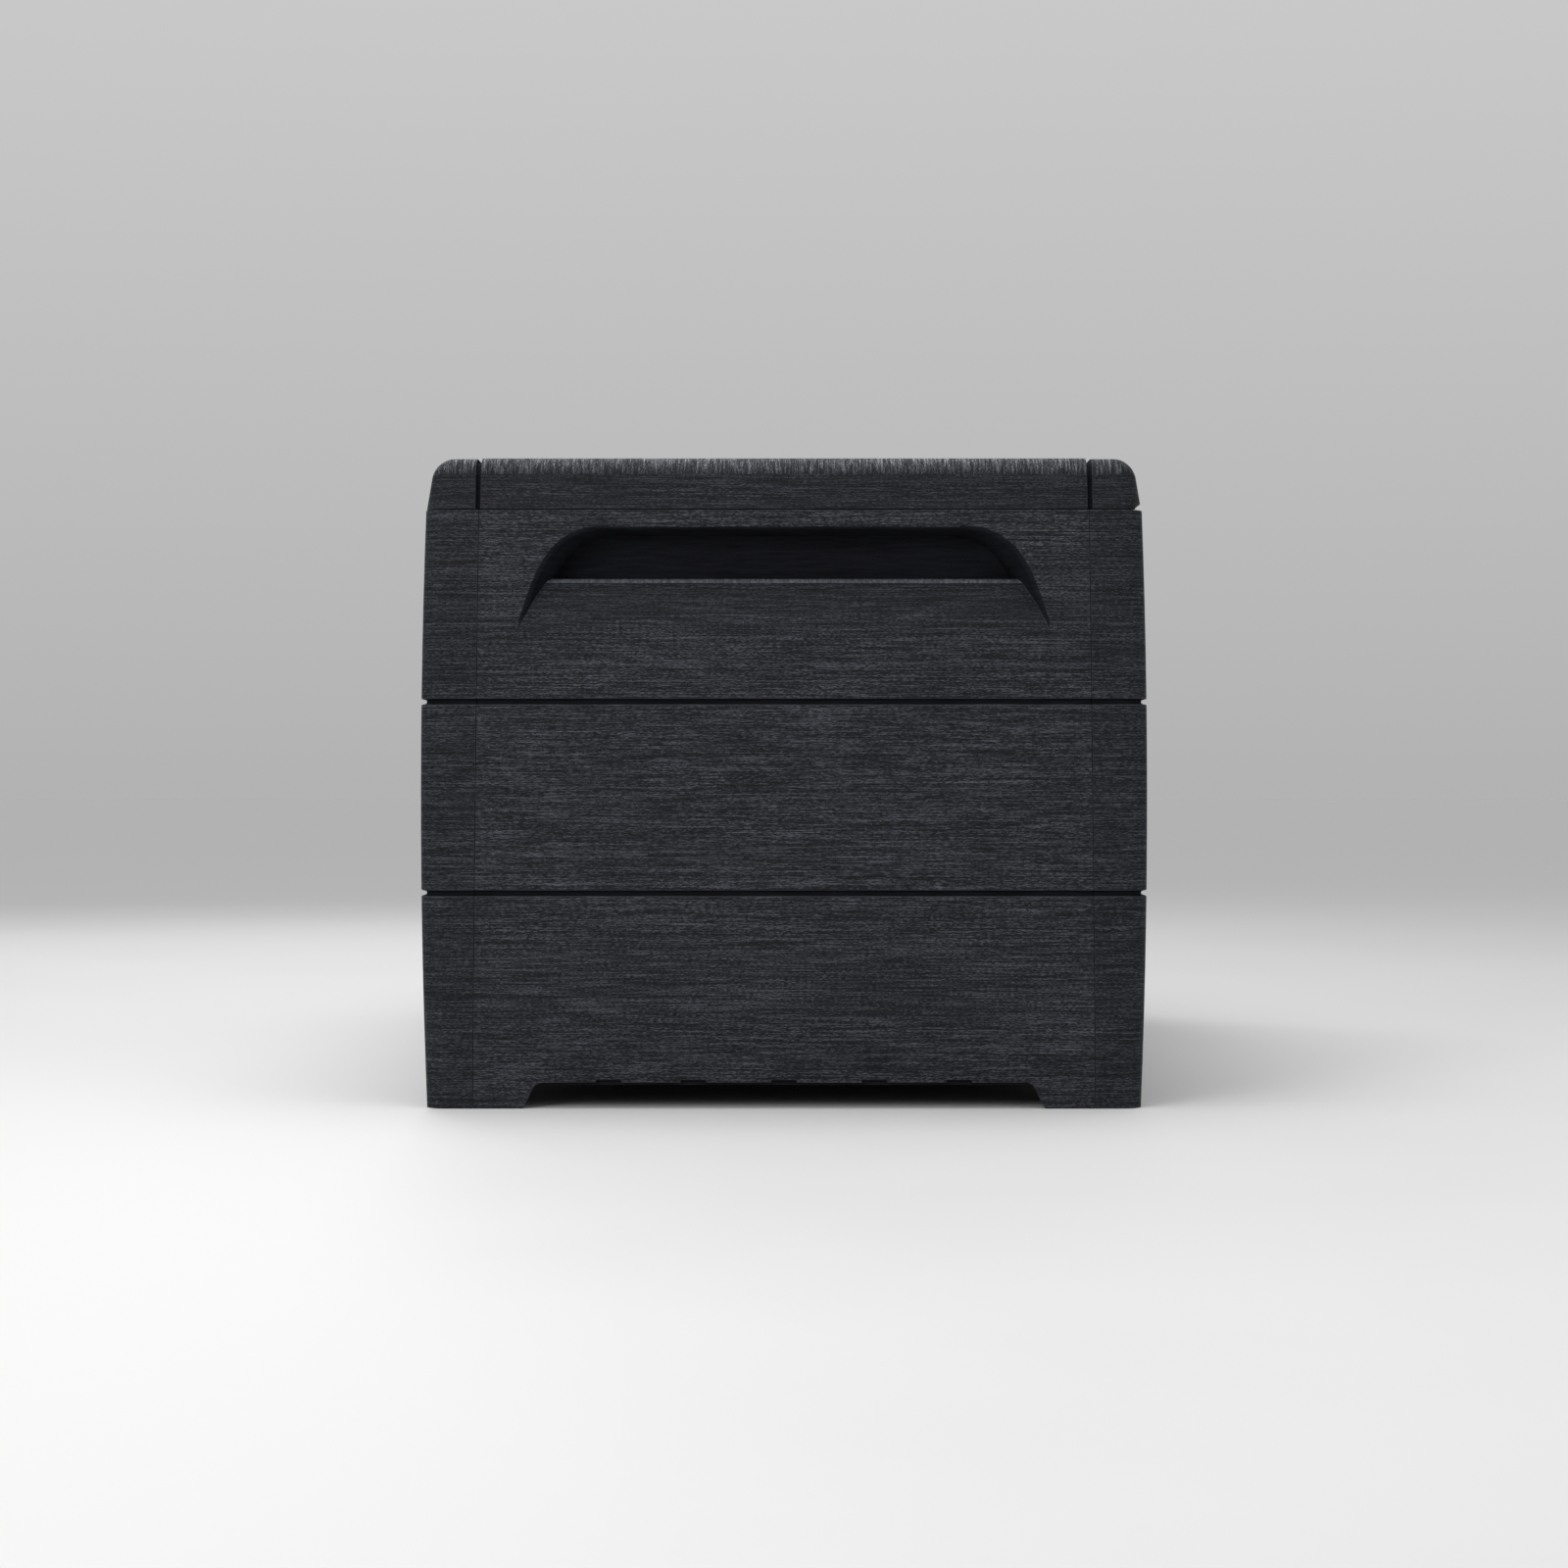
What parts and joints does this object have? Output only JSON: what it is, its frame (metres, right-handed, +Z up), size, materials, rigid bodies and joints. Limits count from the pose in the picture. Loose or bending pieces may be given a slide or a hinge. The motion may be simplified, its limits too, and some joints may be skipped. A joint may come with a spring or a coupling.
{
  "type": "outdoor storage box",
  "caption": "Long resin deck storage box with plank-grooved walls, scooped end hand grips, short feet and a hinged full-width lid held open by gas struts.",
  "frame": {"origin": "on the ground under the centre of the box", "axes": "+X along the box to the right-hand end as seen from the front, +Y to the hinged back, +Z up; the front faces -Y"},
  "size_m": [1.32, 0.715, 0.6403],
  "materials": {
    "charcoal_resin": "charcoal grey moulded resin with a fine brushed wood grain",
    "black_resin": "black glass-filled nylon, satin",
    "black_paint": "black enamelled steel tube",
    "zinc_steel": "zinc plated steel",
    "chrome_rod": "ground and hard chromed piston rod"
  },
  "bodies": {
    "box": {"front_panel": "charcoal_resin", "back_panel": "charcoal_resin", "end_panel_left": "charcoal_resin", "end_panel_right": "charcoal_resin", "floor_panel": "charcoal_resin", "lock_lug_body": "zinc_steel", "lock_screw_body_1": "zinc_steel", "lock_screw_body_2": "zinc_steel", "hinge_leaf_body_left": "black_resin", "hinge_pin_left": "zinc_steel", "hinge_screw_body_left_1": "zinc_steel", "hinge_screw_body_left_2": "zinc_steel", "hinge_leaf_body_centre": "black_resin", "hinge_pin_centre": "zinc_steel", "hinge_screw_body_centre_1": "zinc_steel", "hinge_screw_body_centre_2": "zinc_steel", "hinge_leaf_body_right": "black_resin", "hinge_pin_right": "zinc_steel", "hinge_screw_body_right_1": "zinc_steel", "hinge_screw_body_right_2": "zinc_steel", "strut_bracket_body_left": "zinc_steel", "strut_stud_lower_left": "zinc_steel", "strut_screw_body_left_1": "zinc_steel", "strut_screw_body_left_2": "zinc_steel", "strut_bracket_body_right": "zinc_steel", "strut_stud_lower_right": "zinc_steel", "strut_screw_body_right_1": "zinc_steel", "strut_screw_body_right_2": "zinc_steel"},
    "lid": {"lid_outer": "charcoal_resin", "lid_liner": "charcoal_resin", "lid_bar_front": "zinc_steel", "lid_bar_rear": "zinc_steel", "lock_lug_lid": "zinc_steel", "lock_screw_lid_1": "zinc_steel", "lock_screw_lid_2": "zinc_steel", "hinge_leaf_lid_left": "black_resin", "hinge_screw_lid_left_1": "zinc_steel", "hinge_screw_lid_left_2": "zinc_steel", "hinge_leaf_lid_centre": "black_resin", "hinge_screw_lid_centre_1": "zinc_steel", "hinge_screw_lid_centre_2": "zinc_steel", "hinge_leaf_lid_right": "black_resin", "hinge_screw_lid_right_1": "zinc_steel", "hinge_screw_lid_right_2": "zinc_steel", "strut_bracket_lid_left": "zinc_steel", "strut_screw_lid_left_1": "zinc_steel", "strut_screw_lid_left_2": "zinc_steel", "strut_bracket_lid_right": "zinc_steel", "strut_screw_lid_right_1": "zinc_steel", "strut_screw_lid_right_2": "zinc_steel"},
    "strut_tube_body_left": {"strut_tube_left": "black_paint", "strut_eye_lower_left": "black_resin"},
    "strut_rod_body_left": {"strut_rod_left": "chrome_rod", "strut_eye_upper_left": "black_resin", "strut_stud_upper_left": "zinc_steel"},
    "strut_tube_body_right": {"strut_tube_right": "black_paint", "strut_eye_lower_right": "black_resin"},
    "strut_rod_body_right": {"strut_rod_right": "chrome_rod", "strut_eye_upper_right": "black_resin", "strut_stud_upper_right": "zinc_steel"}
  },
  "joints": [
    {"name": "lid_hinge", "type": "hinge", "parent": "box", "child": "lid", "pos_m": [0, 0.347, 0.5931], "axis": [-1, 0, 0], "range_deg": [0, 80]},
    {"name": "strut_swing_left", "type": "hinge", "parent": "box", "child": "strut_tube_body_left", "pos_m": [-0.627, 0.276, 0.35], "axis": [-1, 0, 0], "range_deg": [0, 0.4304]},
    {"name": "strut_slide_left", "type": "slide", "parent": "strut_tube_body_left", "child": "strut_rod_body_left", "axis": [0, 0.1511, 0.9885], "range_m": [0, 0.05446]},
    {"name": "strut_swing_right", "type": "hinge", "parent": "box", "child": "strut_tube_body_right", "pos_m": [0.627, 0.276, 0.35], "axis": [-1, 0, 0], "range_deg": [0, 0.4304]},
    {"name": "strut_slide_right", "type": "slide", "parent": "strut_tube_body_right", "child": "strut_rod_body_right", "axis": [0, 0.1511, 0.9885], "range_m": [0, 0.05446]}
  ],
  "couplings": [
    {"joint": "strut_swing_left", "follows": "lid_hinge", "ratio": 0.005367},
    {"joint": "strut_slide_left", "follows": "lid_hinge", "m_per_rad": 0.038968},
    {"joint": "strut_swing_right", "follows": "lid_hinge", "ratio": 0.005367},
    {"joint": "strut_slide_right", "follows": "lid_hinge", "m_per_rad": 0.038968}
  ]
}
